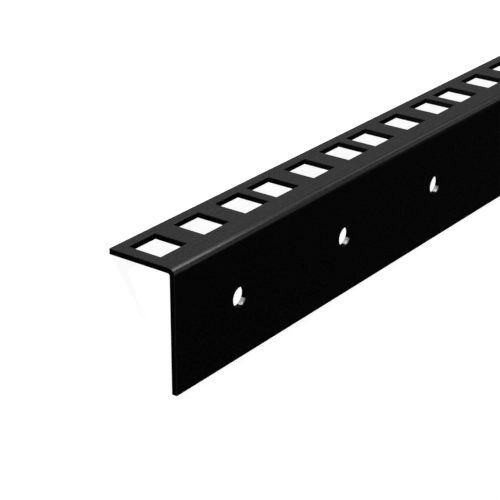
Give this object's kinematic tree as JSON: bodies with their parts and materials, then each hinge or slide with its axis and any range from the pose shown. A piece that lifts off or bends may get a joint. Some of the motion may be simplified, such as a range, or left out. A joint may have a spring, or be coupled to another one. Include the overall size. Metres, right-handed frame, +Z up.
{
  "type": "rack rail",
  "caption": "Bent steel angle rail with a row of square cage-nut holes in its narrow flange and round screw holes in its wide flange.",
  "frame": {"origin": "middle of the rail's bounding box, on the floor that it lies on", "axes": "+X along the rail; +Z up, away from the floor, over the bend; +Y towards the free edge of the narrow flange with the square holes"},
  "size_m": [0.2704, 0.0376, 0.0167],
  "materials": {
    "black_powder_coat": "black powder coat on sheet steel, satin with a fine even texture"
  },
  "bodies": {
    "root": {"rack_rail": "black_powder_coat"}
  },
  "joints": []
}
